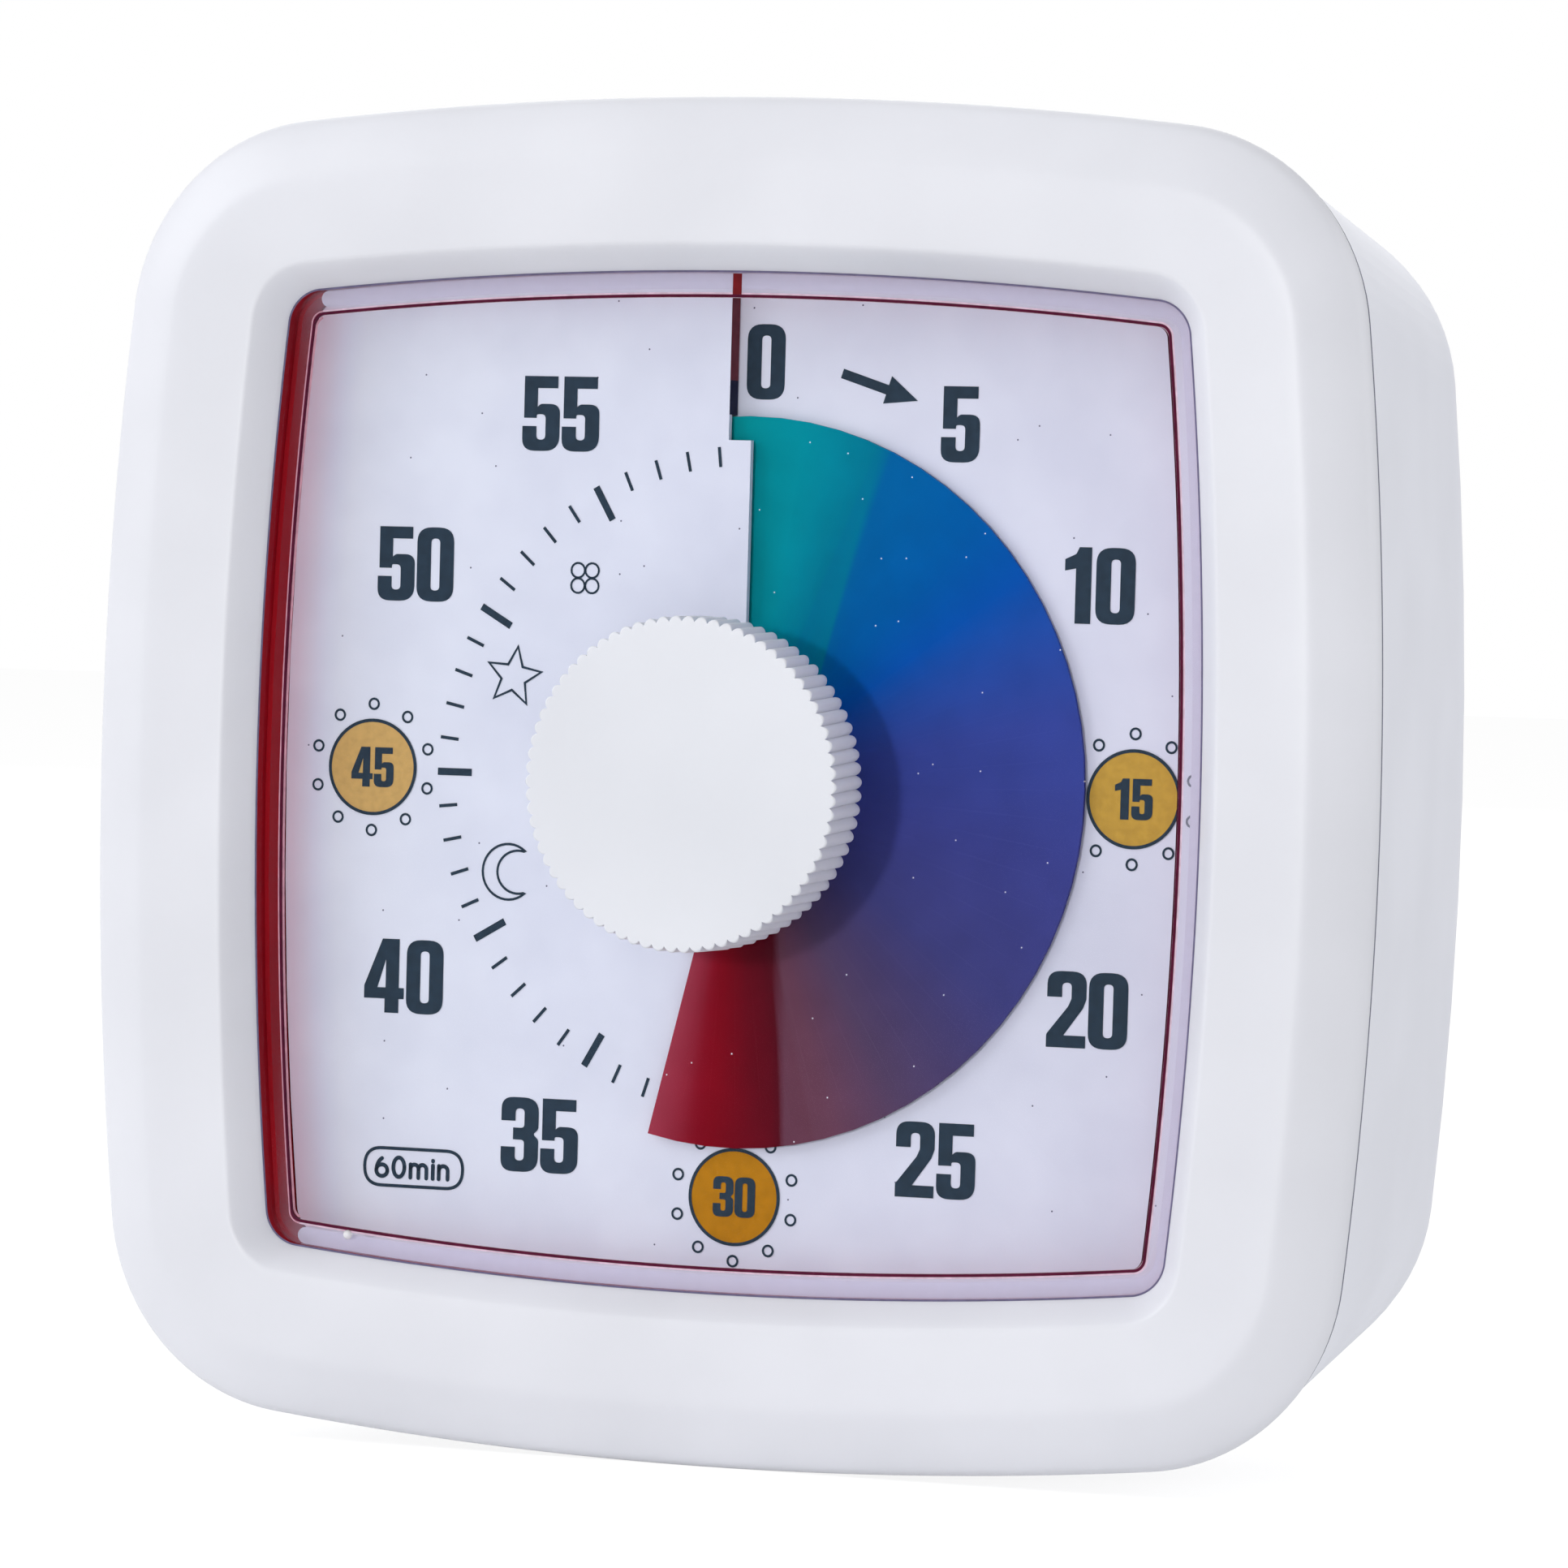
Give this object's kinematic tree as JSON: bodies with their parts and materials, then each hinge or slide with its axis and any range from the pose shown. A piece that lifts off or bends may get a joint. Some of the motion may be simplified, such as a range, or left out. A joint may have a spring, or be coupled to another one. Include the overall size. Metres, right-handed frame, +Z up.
{
  "type": "visual countdown timer",
  "caption": "Square visual countdown timer: knurled knob turns a coloured disc out of a slit in a numbered dial under a clear cover, with a quartz movement and battery bay behind.",
  "frame": {"origin": "centre of the footprint box, on the surface it stands on", "axes": "+Z up, -Y towards the dial's viewer, +X to the viewer's right"},
  "size_m": [0.078, 0.0366, 0.0774],
  "materials": {
    "case_white": "injection moulded, fine satin gloss",
    "rear_white": "injection moulded, fine satin gloss",
    "lens_clear": "clear moulded acrylic",
    "surround_red": "moulded, satin",
    "dial_print": "printed plate, matt lacquer",
    "film_print": "printed film, satin",
    "hub_white": "moulded",
    "knob_white": "injection moulded, satin gloss",
    "steel": "turned or stamped, bright",
    "spring_steel": "stamped and tempered",
    "brass": "turned",
    "acetal": "moulded, natural",
    "ferrite": "pressed ferrite",
    "core_steel": "stamped electrical steel",
    "copper_wire": "enamelled copper wire",
    "housing_white": "moulded",
    "board_green": "solder mask over glass fibre",
    "chip_black": "moulded epoxy",
    "sounder_black": "moulded",
    "slider_grey": "moulded",
    "cell_wrap": null,
    "contact_nickel": "nickel plated",
    "rubber_grey": "moulded, matt"
  },
  "bodies": {
    "case": {"front_bezel": "case_white", "lens_cover": "lens_clear", "dial_surround": "surround_red", "dial_plate": "dial_print", "spindle_bush": "brass", "wheel_pins": "steel", "stator": "core_steel", "coil_bobbin": "acetal", "coil_winding": "copper_wire", "alarm_contact": "brass", "movement_front": "housing_white", "movement_back": "housing_white", "dial_carrier": "housing_white", "rear_case": "rear_white", "battery_cell": "cell_wrap", "battery_spring": "contact_nickel", "battery_plate": "contact_nickel", "circuit_board": "board_green", "control_chip": "chip_black", "quartz_crystal": "contact_nickel", "sounder": "sounder_black", "switch_body": "contact_nickel", "case_screws": "steel", "carrier_screws": "steel", "movement_screws": "steel", "board_screws": "steel", "rear_feet": "rubber_grey"},
    "knob_set": {"knob": "knob_white", "spindle": "steel", "clutch_spring": "spring_steel", "clutch_clip": "spring_steel"},
    "disc": {"color_disc": "film_print", "disc_hub": "hub_white"},
    "drive": {"drive_wheel": "acetal"},
    "second": {"second_wheel": "acetal"},
    "first": {"first_wheel": "acetal"},
    "rotor": {"rotor_pinion": "acetal", "rotor_magnet": "ferrite"},
    "door": {"battery_door": "rear_white"},
    "switch": {"switch_slider": "slider_grey"}
  },
  "joints": [
    {"name": "knob_turn", "type": "hinge", "parent": "case", "child": "knob_set", "pos_m": [0, -0.00859, 0.0387], "axis": [0, 1, 0], "range_deg": [-193.8, 164]},
    {"name": "disc_climb", "type": "slide", "parent": "knob_set", "child": "disc", "axis": [0, -1, 0], "range_m": [-0.00066, 0.00056]},
    {"name": "rotor_turn", "type": "hinge", "parent": "case", "child": "rotor", "pos_m": [-0.00678, 0.00342, 0.04858], "axis": [0, 1, 0], "continuous": true},
    {"name": "first_turn", "type": "hinge", "parent": "case", "child": "first", "pos_m": [0.00481, 0.00142, 0.05169], "axis": [0, 1, 0], "continuous": true},
    {"name": "second_turn", "type": "hinge", "parent": "case", "child": "second", "pos_m": [0.00819, -0.00059, 0.04444], "axis": [0, 1, 0], "continuous": true},
    {"name": "drive_turn", "type": "hinge", "parent": "case", "child": "drive", "pos_m": [0, -0.00198, 0.0387], "axis": [0, 1, 0], "continuous": true},
    {"name": "door_slide", "type": "slide", "parent": "case", "child": "door", "axis": [0, 0, -1], "range_m": [0, 0.016]},
    {"name": "sound_slide", "type": "slide", "parent": "case", "child": "switch", "axis": [1, 0, 0], "range_m": [-0.002, 0.002]}
  ],
  "couplings": [
    {"joint": "disc_climb", "follows": "knob_turn", "m_per_rad": 0.00019099},
    {"joint": "first_turn", "follows": "rotor_turn", "ratio": -0.2},
    {"joint": "second_turn", "follows": "rotor_turn", "ratio": 0.066667},
    {"joint": "drive_turn", "follows": "rotor_turn", "ratio": -0.016667}
  ]
}
